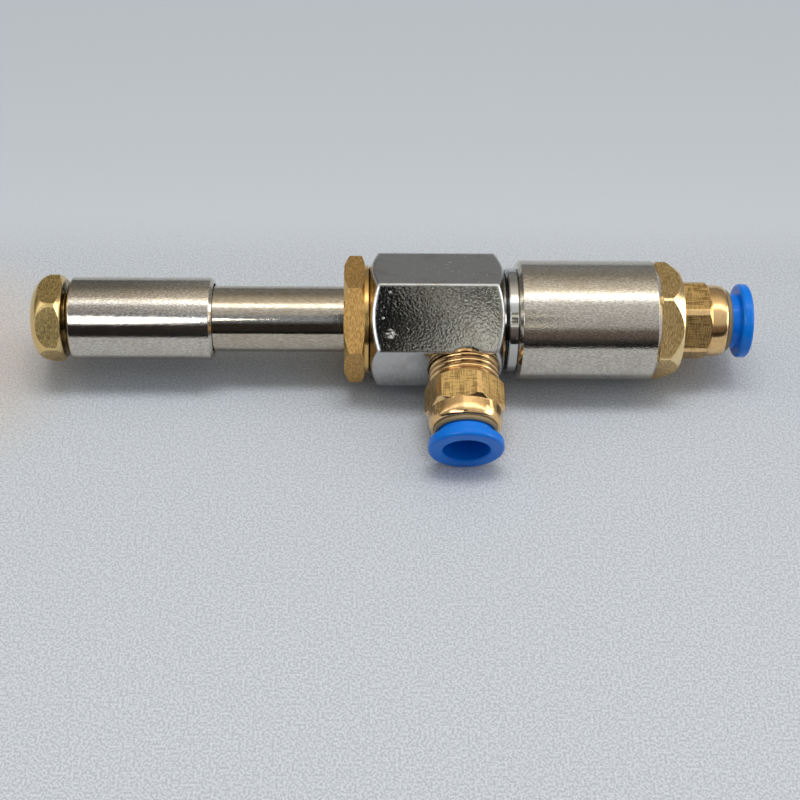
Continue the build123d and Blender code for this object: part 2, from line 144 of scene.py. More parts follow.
# %% Arithmetic on sockets
class Wire:
    """One output of a node, with the arithmetic of numbers."""

    def __init__(self, wiring, socket):
        self.wiring = wiring
        self.socket = socket

    def maths(self, operation, first, second):
        return self.wiring.node("Math", {"operation": operation}, {0: first, 1: second})

    def __add__(self, other):
        return self.maths("ADD", self, other)

    def __sub__(self, other):
        return self.maths("SUBTRACT", self, other)

    def __rsub__(self, other):
        return self.maths("SUBTRACT", other, self)

    def __mul__(self, other):
        return self.maths("MULTIPLY", self, other)

    def __truediv__(self, other):
        return self.maths("DIVIDE", self, other)

    def __rtruediv__(self, other):
        return self.maths("DIVIDE", other, self)

    __radd__ = __add__
    __rmul__ = __mul__

    def between(self, low, high):
        """Rises softly from 0 to 1 as this goes from low to high, or falls if high is the lower."""
        settings = {"interpolation_type": "SMOOTHSTEP"}
        inputs = {"Value": self, "From Min": low, "From Max": high}
        return self.wiring.node("MapRange", settings, inputs)


print("a Wire can stand on either side of + - * and /")

# %% [markdown]
# A Wiring is the network itself. Its one method, node, adds any other node: first its settings,
# which decide what sockets it has, then its inputs. Colours are mixed in it, never added up.

# %% Networks of nodes
class Wiring:
    """The network of nodes of a material, or of the world."""

    def __init__(self, owner):
        owner.use_nodes = True
        self.owner = owner
        self.tree = owner.node_tree

    def node(self, kind, settings=(), inputs=(), output=0):
        made = self.tree.nodes.new("ShaderNode" + kind)
        for name, value in dict(settings).items():
            if name == "stops":
                self.set_stops(made.color_ramp, value)
            else:
                setattr(made, name, value)
        for name, value in dict(inputs).items():
            self.feed(made.inputs[name], value)
        return Wire(self, made.outputs[output])

    def feed(self, socket, value):
        if isinstance(value, Wire):
            self.tree.links.new(value.socket, socket)
        else:
            socket.default_value = value

    def set_stops(self, ramp, stops):
        """Gives a colour ramp its (position, colour) stops."""
        while len(ramp.elements) < len(stops):
            ramp.elements.new(1.0)
        for element, (position, tone) in zip(ramp.elements, stops):
            element.position = position
            element.color = tone

    def mix(self, mask, low, high):
        """One colour where the mask is 0, another where it is 1."""
        return self.node("Mix", {"data_type": "RGBA"}, {0: mask, 6: low, 7: high}, 2)


def colour(red, green, blue):
    return (red, green, blue, 1)


print("methods of a Wiring:", [name for name in vars(Wiring) if not name.startswith("_")])

# %% [markdown]
# Every finish is measured in millimetres on the part itself. A texture could also be laid on with
# flattened coordinates, but a solid pattern needs none: its grain keeps its real size, runs on
# round corners and moves with its piece.

# %% Place on the part
class Surface(Wiring):
    """A material, with its place on the part in millimetres."""

    def __init__(self, name):
        super().__init__(bpy.data.materials.new(name))
        self.shader = self.tree.nodes["Principled BSDF"]
        metres = self.node("TexCoord", output="Object")
        self.place = self.vector("SCALE", metres, Scale=1 / mm)

    def vector(self, operation, first, second=None, output=0, **inputs):
        """Vector Math on one or two vectors."""
        given = {0: first, **inputs}
        if second is not None:
            given[1] = second
        return self.node("VectorMath", {"operation": operation}, given, output)

    def along(self, axis):
        """How far a point is along an axis through the origin."""
        return self.vector("DOT_PRODUCT", self.place, tuple(axis), output=1)

    def off_axis(self, axis):
        """How far a point is from an axis through the origin."""
        foot = self.vector("SCALE", tuple(axis), Scale=self.along(axis))
        return self.vector("LENGTH", self.vector("SUBTRACT", self.place, foot), output=1)


print("one unit of a finish is", mm, "m")

# %% [markdown]
# Machined metal needs few patterns. Grain is the same in all directions. Lines run along an axis,
# as drawing leaves them, and strokes run round it: both are grain in a space that is drawn out
# along that axis. Rings are what a lathe leaves, so they depend on the place along the axis alone.

# %% Grain and tool marks
class Worked(Surface):
    """The patterns that tools leave."""

    def grain(self, size, detail=2.0, place=None):
        """Random lumps of about that size, from 0 to 1."""
        inputs = {"Vector": place or self.place, "Scale": 1 / size, "Detail": detail}
        return self.node("TexNoise", {}, inputs)

    def stretched(self, axis, times):
        """The place, drawn out along an axis."""
        added = self.vector("SCALE", tuple(axis), Scale=self.along(axis) * (times - 1))
        return self.vector("ADD", self.place, added)

    def lines(self, axis, width, length):
        """Fine lines that run along an axis."""
        return self.grain(width, place=self.stretched(axis, width / length))

    def strokes(self, axis, width, length):
        """Short marks that run round an axis."""
        return self.grain(length, place=self.stretched(axis, length / width))

    def rings(self, axis, width):
        """Lines that a lathe leaves round an axis."""
        inputs = {"W": self.along(axis), "Scale": 1 / width, "Detail": 3.0}
        return self.node("TexNoise", {"noise_dimensions": "1D"}, inputs)


print("patterns:", [name for name in vars(Worked) if not name.startswith("_")])

# %% [markdown]
# Most pieces have more than one finish, such as dull flats and bright chamfers on one nut. The
# faces could be picked in the mesh, but the shape itself tells them apart. On a flat of a hexagon,
# the distance from the axis, taken square to that flat, is just half the size across flats. The
# other masks are a band between two stations of the tube axis, and a spot round a point.

# %% Zones of a piece
class Zoned(Worked):
    """Masks that are 1 inside a zone and 0 outside it."""

    def facets(self, axis, flat_out, flats):
        """The flats of a hexagon, and not what was turned on it. One of them faces flat_out."""
        sideways = self.along(axis.cross(flat_out))
        angle = self.node("Math", {"operation": "ARCTAN2"}, {0: sideways, 1: self.along(flat_out)})
        from_flat = self.node("Math", {"operation": "PINGPONG"}, {0: angle, 1: pi / 6})
        share = self.node("Math", {"operation": "COSINE"}, {0: from_flat})
        return (share * self.off_axis(axis)).between(flats / 2 - 0.08, flats / 2 - 0.03)

    def band(self, low, high, edge):
        """Between two stations along the tube axis, fading out over an edge beyond them."""
        x = self.along(tube_out)
        return x.between(low - edge, low) * x.between(high + edge, high)

    def mark(self, place, size):
        """Inside a spot of that size, fading to its rim."""
        return self.vector("DISTANCE", self.place, place, output=1).between(size, size * 0.4)


print("zones:", [name for name in vars(Zoned) if not name.startswith("_")])

# %% [markdown]
# A Finish puts it all on the shader. Real edges are a little round and catch the light, while the
# CAD's are sharp, so the normal is rounded in the shader, and the relief of the grain is added to
# it as a height in millimetres. The last method feeds the shader's sockets. What varies over a
# surface feeds the few sockets that can be baked later, and the rest get plain numbers.

# %% Relief and shader
class Finish(Zoned):
    """A whole finish: patterns, zones, relief and the shader that wears them."""

    def rounded(self, edge):
        """The normal on edges that are rounded to a radius in millimetres."""
        return self.node("Bevel", {"samples": 8}, {"Radius": edge * mm})

    def relief(self, height, edge=0.15, rounded=None):
        """A normal from a height in millimetres, on rounded edges."""
        inputs = {"Distance": mm, "Height": height, "Normal": rounded or self.rounded(edge)}
        return self.node("Bump", {}, inputs)

    def wear(self, **sockets):
        """Feeds the shader. Underscores stand for the spaces in the names of its sockets."""
        for name, value in sockets.items():
            self.feed(self.shader.inputs[name.replace("_", " ")], value)
        return self.owner


dressed = set()


def dress(finish, *names):
    """Gives a finish to nodes of the part."""
    for name in names:
        nodes[name].data.materials[0] = finish
    dressed.update(names)
    print(finish.name, "has", len(finish.node_tree.nodes), "nodes, on", ", ".join(names))


print("pieces to dress:", len(nodes))

# %% [markdown]
# The table is a smooth pale blue-grey sheet with a fine leathery grain, a little warmer at its far
# left. Its tint is painted darker towards the back, as shade, and the hollows of its grain are
# painted darker, as the shade in them. It is not part of the object, so it is staged. Its height is
# the lowest point of the part, which lies on one corner of its hexagonal body and on the rim of the
# inlet's blue ring. A real lens is sharp only near the part, so the grain fades out behind it. A
# blurred lens would do the same, but it would blur the part too when it is seen from elsewhere.

# %% Table
table_reach = 3.0
table_mesh = bpy.data.meshes.new("table")
corners = ((-1, -1), (1, -1), (1, 1), (-1, 1))
table_mesh.from_pydata([(x * table_reach, y * table_reach, 0) for x, y in corners], [], [(0, 1, 2, 3)])
table = bpy.data.objects.new("table", table_mesh)
table.location.z = cad_low.z
scene.collection.objects.link(table)


def pale_table():
    sheet = Finish("pale_table")
    depth = sheet.along(Vector((0, 1, 0)))
    sharp = depth.between(42, 24)
    leather = sheet.grain(0.40, detail=1.0)
    # The hollows of the grain are rougher, and are painted darker as the shade in them.
    pores_and_shade = leather.between(0.62, 0.38)
    warm_side = sheet.mark((-100, 0, 0), 34)
    # Painted shade: the tint darkens from the near side of the table to the far side.
    near, far = colour(0.68, 0.72, 0.775), colour(0.49, 0.53, 0.58)
    tint = sheet.mix(depth.between(-90, 120), near, far)
    tint = sheet.mix(warm_side * 0.8, tint, colour(0.66, 0.58, 0.51))
    tint = sheet.mix(pores_and_shade * sharp * 0.7, tint, colour(0.43, 0.46, 0.50))
    normal = sheet.relief(leather * sharp * 0.2, edge=0)
    return sheet.wear(Base_Color=tint, Roughness=0.62 + 0.1 * pores_and_shade, Normal=normal)


table_mesh.materials.append(pale_table())
print("the table is at", round(table.location.z / mm, 2), "mm")

# %% [markdown]
# Polished and satin metal shows little of its own colour: it shows the room. So the light is made
# as bands that run along the part, in degrees from the front horizon over the top to the back one.
# A strip hangs straight overhead, narrow enough to leave a firm shadow under the tube. The ceiling
# behind it is warm. Before it, the room is a plain grey that darkens to the front, more so on the
# left, where it is also bluer.

# %% Bands of the room
strip_glow = 2.9
grey = Vector((1, 1, 1))
warm = Vector((1, 0.925, 0.80))
ruddy = Vector((1, 0.82, 0.74))
bluish = Vector((0.80, 0.90, 1.08))
front_left = (
    (0, 0.03, grey), (28, 0.04, ruddy), (35, 0.20, bluish), (42, 0.46, bluish), (56, 0.48, bluish),
    (62, 0.58, grey),
)
front_right = (
    (0, 0.03, grey), (6, 0.04, grey), (13, 0.13, ruddy), (26, 0.17, ruddy), (36, 0.48, grey),
    (60, 0.64, grey),
)
overhead = (
    (74, 0.72, grey), (83, 0.95, grey), (89, 2.3, grey), (95, strip_glow, grey), (101, 2.0, warm),
    (107, 0.95, warm), (120, 0.72, warm), (132, 0.46, warm), (144, 0.30, warm), (160, 0.28, grey),
    (180, 0.22, grey),
)
print("bands:", len(front_left + overhead), "on the left,", len(front_right + overhead), "on the right")

# %% [markdown]
# The world turns these bands into light with two ramps, one for each side of the room. A panorama
# would do too, but it can't be read or tuned. The strip ends above the tube, so the far left of the
# room is dimmer.

# %% Room light
room = bpy.data.worlds.new("room")
scene.world = room
light = Wiring(room)
ray = light.node("TexCoord", output="Generated")
rightwards, backwards, upwards = (light.node("SeparateXYZ", {}, {0: ray}, side) for side in "XYZ")
half_turns = light.node("Math", {"operation": "ARCTAN2"}, {0: upwards, 1: 0 - backwards}) / pi


def ceiling(bands):
    """A ramp of (degrees, brightness, tone) bands. The world's strength scales it back."""
    stops = []
    for angle, brightness, tone in bands:
        stops.append((angle / 180, colour(*(tone * brightness / strip_glow))))
    return light.node("ValToRGB", {"stops": stops}, {0: half_turns})


left_share = rightwards.between(0.06, -0.02)
dim_share = rightwards.between(-0.10, -0.17) * 0.45
glow = light.mix(left_share, ceiling(front_right + overhead), ceiling(front_left + overhead))
glow = light.mix(dim_share, glow, colour(0, 0, 0))
backdrop = light.tree.nodes["Background"]
light.feed(backdrop.inputs["Color"], glow)
backdrop.inputs["Strength"].default_value = strip_glow
print("the room's network has", len(light.tree.nodes), "nodes")

# %% [markdown]
# Three lamps finish the light. A window to the front left puts the white stripe on the small
# sleeve, and the rest of the part is beyond its edge. A door to the right gives the turned ends and
# shoulders a white rim. Both are only mirrored: their share in lighting the table is taken away, so
# that they don't fill the shadows. The tube lamp overhead does the opposite. It adds to the strip's
# light on the table, so the shadow is firm, and isn't mirrored a second time.

# %% Lamps
lamp_distance = 0.9


def soft_box(name, direction, width, height, watts):
    """An area lamp in that direction from the part, facing it."""
    lamp = bpy.data.lights.new(name, "AREA")
    lamp.shape = "RECTANGLE"
    lamp.size = width
    lamp.size_y = height
    lamp.energy = watts
    box = bpy.data.objects.new(name, lamp)
    back = Vector(direction).normalized()
    right = Vector((0, 0, 1)).cross(back).normalized()
    place = (cad_low + cad_high) / 2 + back * lamp_distance
    box.matrix_world = facing(place, right, back.cross(right), back)
    scene.collection.objects.link(box)
    return box


window = soft_box("window", (-0.47, -0.585, 0.675), width=0.70, height=0.27, watts=2.4)
door = soft_box("door", (0.95, -0.05, 0.26), width=0.7, height=0.4, watts=2.2)
for mirrored in (window, door):
    mirrored.visible_diffuse = False
tube_lamp = soft_box("tube_lamp", (0, 0.06, 1), width=0.5, height=0.16, watts=2.7)
tube_lamp.visible_glossy = False
print("lamps:", window.name, door.name, tube_lamp.name)

# %% [markdown]
# Two cards in the room are seen only in reflections. They are staged like the table, and the camera
# and the shadows pass through them.

# %% Cards that are only mirrored
def reflector(name, left, right, low, high, matrix):
    """A thin card. Its sides are in millimetres from the place of the matrix."""
    mesh = bpy.data.meshes.new(name)
    sides = ((left, low), (right, low), (right, high), (left, high))
    mesh.from_pydata([(x * mm, y * mm, 0) for x, y in sides], [], [(0, 1, 2, 3)])
    made = bpy.data.objects.new(name, mesh)
    made.matrix_world = matrix
    made.visible_camera = False
    made.visible_shadow = False
    made.visible_diffuse = False
    scene.collection.objects.link(made)
    print(name, "is", right - left, "by", round(high - low, 1), "mm")
    return mesh


# %% [markdown]
# The flat of the body that faces the lens mirrors the place where the lens is. There hangs a card
# that glows with its own light: black at the left, paling to beige at the right, with dark patches
# all over. The rough chrome breaks it into grains. A lamp there would give one bright patch, and
# with nothing there the chrome would look like grey paint.

# %% Card beside the lens
card_left = -10
card_right = 64


def glowing_card():
    paper = Finish("glowing_card")
    width = card_right - card_left
    from_left = (paper.along(tube_out) - card_left) / width
    shades = ((11, 0.004), (14, 0.30), (27, 0.36), (38, 0.60), (48, 0.85))
    beige = Vector((1, 0.97, 0.84))
    stops = [((x - card_left) / width, colour(*(beige * shade))) for x, shade in shades]
    glow = paper.node("ValToRGB", {"stops": stops}, {0: from_left})
    # The card's glow is dark over these patches, and the chrome mirrors that.
    dark_patches = paper.grain(26.0, detail=1.0).between(0.53, 0.47)
    glow = paper.mix(dark_patches * 0.85, glow, colour(0, 0, 0))
    return paper.wear(Base_Color=colour(0, 0, 0), Roughness=1, Emission_Color=glow, Emission_Strength=1)


lens_side = facing(lens_place + camera_back * 6 * mm, camera_right, camera_up, camera_back)
reflector("card", card_left, card_right, -80, 80, lens_side).materials.append(glowing_card())

# %% [markdown]
# A low black bar stands on the table in front of the part, just out of the picture. Turned metal
# mirrors it as a thin dark line, where otherwise the table beyond it would glow.

# %% Bar on the table
def black_paper():
    paper = Finish("black_paper")
    tint = paper.mix(paper.grain(0.8), colour(0.01, 0.01, 0.01), colour(0.02, 0.02, 0.02))
    return paper.wear(Base_Color=tint, Roughness=0.9)


bar_place = Vector((0, -118 * mm, cad_low.z))
bar_side = facing(bar_place, tube_out, Vector((0, 0, 1)), Vector((0, -1, 0)))
reflector("bar", -260, 260, 0.1, 20, bar_side).materials.append(black_paper())

# %% [markdown]
# The hexagonal body is brass bar under polished chrome. The plating follows the drawn bar, whose
# skin is slightly rough, so the flat that faces the camera breaks what it mirrors into black and
# white grains. A rougher shader would only blur it, so the grains are relief on a clear mirror.
# Where the room is even, the same skin looks smooth. The plate has faint brown stains, and a few
# dents from other parts in the bag. Polishing rounds the edges of the hexagon most. The groove of
# the neck is painted black, as the shade in it.

# %% Chrome
hexagon_end = 7.45
neck_groove = 0.4


def chrome_plate():
    plate = Finish("chrome_plate")
    on_hexagon = plate.along(tube_out).between(hexagon_end - 0.02, hexagon_end - 0.1)
    skin = plate.grain(0.45, detail=1.5) * 0.017 + plate.grain(2.4) * 0.006
    haze = plate.grain(4.0).between(0.5, 0.8)
    specks = plate.grain(0.26, detail=0.0).between(0.80, 0.86)
    dents = plate.mark((-13.4, -3.53, 10.91), 0.22) + plate.mark((3.91, 0.89, 10.77), 0.22)
    dents = dents + plate.mark((-14.6, -6.95, 7.87), 0.25) + specks
    knock = plate.lines(Vector((0.5, -0.6, 0.6)).normalized(), 0.3, 1.5).between(0.5, 0.7)
    knock = knock * plate.mark((-13.2, -9.05, 6.01), 1.1)
    scratch = plate.lines(Vector((0.96, 0.2, -0.1)).normalized(), 0.16, 2.4).between(0.62, 0.72)
    scratch = scratch * plate.mark((-2.5, 4.93, 9.42), 1.6)
    tint = plate.mix(haze, colour(0.58, 0.58, 0.57), colour(0.51, 0.48, 0.44))
    # Painted shade: the groove of the neck is black, as the shade in it.
    neck_shade = plate.band(hexagon_end, hexagon_end + neck_groove, 0.03)
    turned_tint = plate.mix(neck_shade, tint, colour(0.05, 0.05, 0.05))
    tint = plate.mix(on_hexagon, turned_tint, tint)
    height = (skin * (0.15 + 0.85 * on_hexagon)) - (dents + knock) * 0.03 - scratch * 0.02
    edges = {0: on_hexagon, 4: plate.rounded(0.1), 5: plate.rounded(0.85)}
    rounded = plate.node("Mix", {"data_type": "VECTOR"}, edges, 1)
    normal = plate.relief(height, rounded=rounded)
    return plate.wear(Base_Color=tint, Metallic=1, Roughness=0.04 + 0.06 * haze, Normal=normal)


dress(chrome_plate(), "body")

# %% [markdown]
# Both sleeves are satin nickel: turned, plated and tumbled. The plating has taken on a warm cast,
# and it sparkles: its grains are a little longer along the sleeve than across it. Here too, relief
# on a fairly smooth metal keeps the stripes of light firm, as roughness alone wouldn't. The ends
# were chamfered by the last cut of the lathe and have little grain, so the finish needs to know
# where the ends are. The frame says that.

# %% Satin nickel
def satin_nickel(name, node, chamfer):
    satin = Finish(name)
    low, high = (corner.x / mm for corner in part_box(node))
    middle = satin.band(low + chamfer + 0.1, high - chamfer - 0.1, 0.1)
    grains = satin.lines(tube_out, 0.24, 0.5)
    stain = satin.grain(3.2, detail=4.0).between(0.45, 0.75)
    pits = satin.grain(0.55, detail=1.0).between(0.77, 0.83) * middle
    tint = satin.mix(grains.between(0.3, 0.7), colour(0.47, 0.43, 0.37), colour(0.74, 0.695, 0.62))
    tint = satin.mix(stain * 0.5, tint, colour(0.50, 0.44, 0.36))
    tint = satin.mix(pits, tint, colour(0.20, 0.18, 0.16))
    skin = grains * 0.014 * (0.2 + 0.8 * middle) + satin.rings(tube_out, 0.5) * 0.001 - pits * 0.01
    normal = satin.relief(skin, edge=0.12)
    return satin.wear(Base_Color=tint, Metallic=1, Roughness=0.11 + 0.05 * stain, Normal=normal)


dress(satin_nickel("hot_sleeve_nickel", "hot_sleeve", chamfer=0.5), "hot_sleeve")
dress(satin_nickel("cold_sleeve_nickel", "cold_sleeve", chamfer=0.6), "cold_sleeve")

# %% [markdown]
# The tube is drawn steel. Drawing leaves faint lines along it, and fitting the nut and the sleeve
# has left fine rings round it. They could be cut into the mesh, but they are only microns deep. So
# they are mostly a change of tint and roughness, with hardly any relief.

# %% Drawn steel
def drawn_steel():
    steel = Finish("drawn_steel")
    draw = steel.lines(tube_out, 0.15, 0.9)
    rub = steel.rings(tube_out, 0.6).between(0.55, 0.7)
    smear = steel.grain(3.0, detail=3.0).between(0.45, 0.75)
    tint = steel.mix(draw.between(0.3, 0.7), colour(0.40, 0.345, 0.27), colour(0.62, 0.56, 0.46))
    tint = steel.mix(smear * 0.5, tint, colour(0.45, 0.385, 0.29))
    skin = draw * 0.004 + steel.grain(0.22) * 0.002 + rub * 0.0005
    normal = steel.relief(skin, edge=0.1)
    return steel.wear(Base_Color=tint, Metallic=1, Roughness=0.06 + 0.05 * rub, Normal=normal)


dress(drawn_steel(), "hot_tube")

# %% [markdown]
# The gland nut, the regulating plug and the bush are bare brass. Their flats are the dull skin of
# the bar, with fine marks and dark specks, and their chamfers and domes were turned and are bright.
# One recipe makes all three. The plug's bar was brushed more finely, and its thread, from the gap
# behind its head on, is painted dark brown as the shade in that gap.

# %% Bare brass
def bare_brass(name, flat_out, flats, tones, turned, dull, coarse=1, shaded_from=1000):
    """Shaded_from is the station along the axis where the flats end and the thread starts, painted dark
    brown as shade.
    """
    brass = Finish(name)
    light_tone, dark_tone = tones
    face = brass.facets(tube_out, flat_out, flats)
    strokes = brass.strokes(tube_out, 0.13 * coarse, 0.7 * coarse)
    specks = brass.grain(0.34, detail=1.0).between(0.56, 0.68)
    blotch = brass.grain(1.8, detail=3.0).between(0.35, 0.7)
    flat_tint = brass.mix(strokes.between(0.40, 0.60), dark_tone, light_tone)
    flat_tint = brass.mix(specks * 0.45, flat_tint, dark_tone)
    turned_tint = brass.mix(blotch * 0.45, turned, light_tone)
    tint = brass.mix(face, turned_tint, flat_tint)
    # Painted shade: the thread from that station on is dark brown.
    thread_shade = brass.along(tube_out).between(shaded_from - 0.15, shaded_from + 0.05)
    tint = brass.mix(thread_shade * 0.85, tint, colour(0.17, 0.11, 0.04))
    skin = (strokes * 0.010 - specks * 0.008) * face + brass.rings(tube_out, 0.25) * 0.0006
    rough = 0.17 + (dull - 0.17) * face + 0.06 * blotch
    normal = brass.relief(skin, edge=0.14)
    return brass.wear(Base_Color=tint, Metallic=1, Roughness=rough, Normal=normal)


# %% Nut, bush and plug
nut_tones = colour(0.73, 0.47, 0.17), colour(0.46, 0.27, 0.09)
bush_tones = colour(0.80, 0.57, 0.27), colour(0.44, 0.31, 0.13)
plug_tones = colour(0.85, 0.63, 0.27), colour(0.35, 0.25, 0.10)
bush_turned = colour(0.92, 0.72, 0.38)
plug_turned = colour(0.80, 0.60, 0.27)
vent_gap = 0.92
plug_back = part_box("hot_sleeve")[0].x / mm - vent_gap
nut_brass = bare_brass("gland_brass", across(57), 20.0, nut_tones, turned=nut_tones[0], dull=0.56)
bush_brass = bare_brass("bush_brass", across(49), 19.0, bush_tones, turned=bush_turned, dull=0.42)
plug_brass = bare_brass(
    "plug_brass", across(45), 14.3, plug_tones, turned=plug_turned, dull=0.34, coarse=0.8, shaded_from=plug_back
)
dress(nut_brass, "gland_nut")
dress(bush_brass, "cold_bush")
dress(plug_brass, "regulating_plug")

# %% [markdown]
# The two push-in fittings are free-cutting brass, redder than the bar of the nuts. Their flats keep
# a cross-hatch of milling marks, which is strokes round the axis and lines along it, taken
# together. The round shoulder behind them is polished, and so is the thread, but the hollows between
# its ridges are painted dark, as the shade in them. Each fitting is measured from its seat, where
# the hexagon starts.

# %% Fitting brass
hexagon_flats = 13.0
hexagon_length = 5.3


def fitting_brass(name, axis, flat_out, seat, flat_tone):
    brass = Finish(name)
    station = brass.along(axis)
    on_hexagon = station.between(seat + hexagon_length, seat + hexagon_length - 0.05)
    face = brass.facets(axis, flat_out, hexagon_flats) * on_hexagon
    # Painted shade: the hollows of the thread are dark.
    groove_shade = brass.off_axis(axis).between(6.2, 5.95) * station.between(seat, seat - 0.05)
    hatch = brass.strokes(axis, 0.15, 2.0) * 0.5 + brass.lines(axis, 0.22, 2.6) * 0.5
    hatch = hatch.between(0.53, 0.44)
    copper = brass.grain(1.2, detail=3.0).between(0.45, 0.75)
    tint = brass.mix(copper * 0.7, colour(0.87, 0.59, 0.28), colour(0.66, 0.37, 0.17))
    tint = brass.mix(face, tint, flat_tone)
    tint = brass.mix(hatch * face * 0.75, tint, colour(0.24, 0.14, 0.05))
    tint = brass.mix(groove_shade * 0.8, tint, colour(0.20, 0.11, 0.05))
    skin = brass.grain(0.35) * 0.006 - hatch * 0.012 * face + brass.rings(axis, 0.3) * 0.0012
    rough = 0.15 + 0.2 * face + 0.07 * copper
    normal = brass.relief(skin, edge=0.12)
    return brass.wear(Base_Color=tint, Metallic=1, Roughness=rough, Normal=normal)


# %% Bodies of the fittings
inlet_seat = 13.85
outlet_seat = 39.2
inlet_turn = radians(12)
inlet_flat = across(90) * cos(inlet_turn) - tube_out * sin(inlet_turn)
outlet_flat = across(41)
inlet_tone = colour(0.72, 0.49, 0.19)
outlet_tone = colour(0.80, 0.54, 0.22)
inlet_brass = fitting_brass("inlet_brass", inlet_out, inlet_flat, inlet_seat, inlet_tone)
outlet_brass = fitting_brass("outlet_brass", tube_out, outlet_flat, outlet_seat, outlet_tone)
dress(inlet_brass, "inlet_fitting_body")
dress(outlet_brass, "outlet_fitting_body")

# %% [markdown]
# The release rings are moulded from glossy blue plastic. A thin gloss over a colour that varies a
# little is enough, with hardly any relief: a mould gives a smoother skin than any tool. The guide
# rings in the mouths are a duller olive plastic, and the generator inside is turned from white
# acetal.

# %% Plastics
def moulded(name, light_tone, dark_tone, rough, gloss, shine=0.5):
    plastic = Finish(name)
    cloud = plastic.grain(2.5, detail=3.0)
    skin = plastic.grain(0.8) * 0.004
    return plastic.wear(
        Base_Color=plastic.mix(cloud, light_tone, dark_tone),
        Roughness=rough + 0.06 * cloud,
        Specular_IOR_Level=shine,
        Coat_Weight=gloss,
        Coat_Roughness=0.06,
        Normal=plastic.relief(skin, edge=0.15),
    )


blue_tones = colour(0.0, 0.215, 0.84), colour(0.0, 0.17, 0.74)
olive_tones = colour(0.30, 0.235, 0.12), colour(0.24, 0.185, 0.09)
white_tones = colour(0.80, 0.79, 0.74), colour(0.86, 0.85, 0.80)
blue = moulded("release_blue", *blue_tones, rough=0.3, gloss=0.3, shine=0.15)
olive = moulded("guide_olive", *olive_tones, rough=0.4, gloss=0.0)
acetal = moulded("turned_acetal", *white_tones, rough=0.35, gloss=0.0)
dress(blue, "inlet_release_ring", "outlet_release_ring")
dress(olive, "inlet_guide_ring", "outlet_guide_ring")
dress(acetal, "vortex_generator")

# %% [markdown]
# What sits inside shows only when the part is opened or a tube is out of its socket: toothed spring
# rings, the perforated tube, rubber rings and two felts. They get simpler finishes, but none is a
# flat colour, because the teeth can be seen through the bores of the blue rings.

# %% Bright metal inside
def bright_metal(name, light_tone, dark_tone):
    metal = Finish(name)
    grain = metal.grain(0.2)
    tint = metal.mix(grain, light_tone, dark_tone)
    normal = metal.relief(grain * 0.002)
    return metal.wear(Base_Color=tint, Metallic=1, Roughness=0.2 + 0.1 * grain, Normal=normal)


teeth_steel = bright_metal("teeth_steel", colour(0.58, 0.57, 0.55), colour(0.50, 0.49, 0.47))
sieve_brass = bright_metal("perforated_brass", colour(0.80, 0.57, 0.26), colour(0.66, 0.45, 0.19))
dress(teeth_steel, "inlet_grip_ring", "outlet_grip_ring")
dress(sieve_brass, "perforated_tube")


# %% Rubber
def seal_rubber():
    ring = Finish("seal_rubber")
    bloom = ring.grain(0.8, detail=3.0)
    tint = ring.mix(bloom, colour(0.012, 0.012, 0.013), colour(0.03, 0.03, 0.03))
    return ring.wear(Base_Color=tint, Roughness=0.45 + 0.2 * bloom, Normal=ring.relief(bloom * 0.01))


round_seals = "hot_tube_seal", "generator_seal", "regulator_seal"
dress(seal_rubber(), *round_seals, "inlet_tube_seal", "outlet_tube_seal")


# %% Felt
def pressed_felt():
    wool = Finish("pressed_felt")
    hairs = wool.lines(Vector((0.3, 0.8, 0.5)).normalized(), 0.12, 1.4)
    fibre = hairs * 0.5 + wool.grain(0.3, detail=4.0) * 0.5
    tint = wool.mix(fibre, colour(0.50, 0.48, 0.42), colour(0.68, 0.66, 0.60))
    return wool.wear(Base_Color=tint, Roughness=0.9 + 0.1 * fibre, Normal=wool.relief(fibre * 0.12))


dress(pressed_felt(), "hot_felt", "cold_felt")
print("pieces left bare:", len(set(nodes) - dressed))

# %% [markdown]
# Two threads can be seen: the inlet fitting's, which stands out of the body by three turns, and the
# regulating plug's, when it is screwed out. The CAD solid has a plain shank there. A thread could
# be a pattern in the shader, but its outline would stay straight, so it is cut in the mesh. It is a
# ridge that climbs as it goes round. The crests stay at the CAD's radius, and every other point is
# sunk by how far it is from the ridge. Sinking fades out at both ends, to meet the plain rims.

# %% Shape of a thread
class Thread:
    """A thread on a shank, from start to end along an axis. All lengths are in millimetres."""

    def __init__(self, axis, start, end, radius, slope, pitch, depth):
        self.axis = axis
        self.start = start
        self.end = end
        self.radius = radius  # at the end
        self.slope = slope
        self.pitch = pitch
        self.depth = depth

    def crest(self, height):
        """The shank's own radius at that height. It grows by the slope on the way to the end."""
        return self.radius - (self.end - height) * self.slope

    def reach(self, height, share):
        """The thread's radius at that height and that share of a turn."""
        fading = 0.4 * self.pitch
        fade = min(1, (height - self.start) / fading, (self.end - height) / fading)
        hollow = ((1 - cos(2 * pi * (height / self.pitch - share))) / 2) ** 1.4
        return self.crest(height) - self.depth * fade * hollow

    def on_shank(self, point):
        """Whether a point is on the plain wall that the thread takes the place of."""
        near = abs(sqrt(point.x**2 + point.y**2) - self.crest(point.z)) < 0.03
        return near and self.start - 0.01 < point.z < self.end + 0.01


thread_gap = 0.05
inlet_thread = Thread(
    inlet_out, start=inlet_seat - 6.0, end=inlet_seat,
    radius=12.8 / 2 - thread_gap, slope=1 / 32, pitch=1.1, depth=0.42,
)
plug_thread = Thread(
    tube_out, start=plug_back, end=plug_back + 8.75,
    radius=10.0 / 2 - thread_gap, slope=0, pitch=1.0, depth=0.4,
)
print("turns:", [round((cut.end - cut.start) / cut.pitch, 1) for cut in (inlet_thread, plug_thread)])

# %% [markdown]
# The plain wall is taken out of a copy of the piece, which is first turned so that the thread's
# axis is Z. What is left keeps the CAD's own shading: it is carried along as a value on each corner
# of each face, because new faces would make Blender forget it.

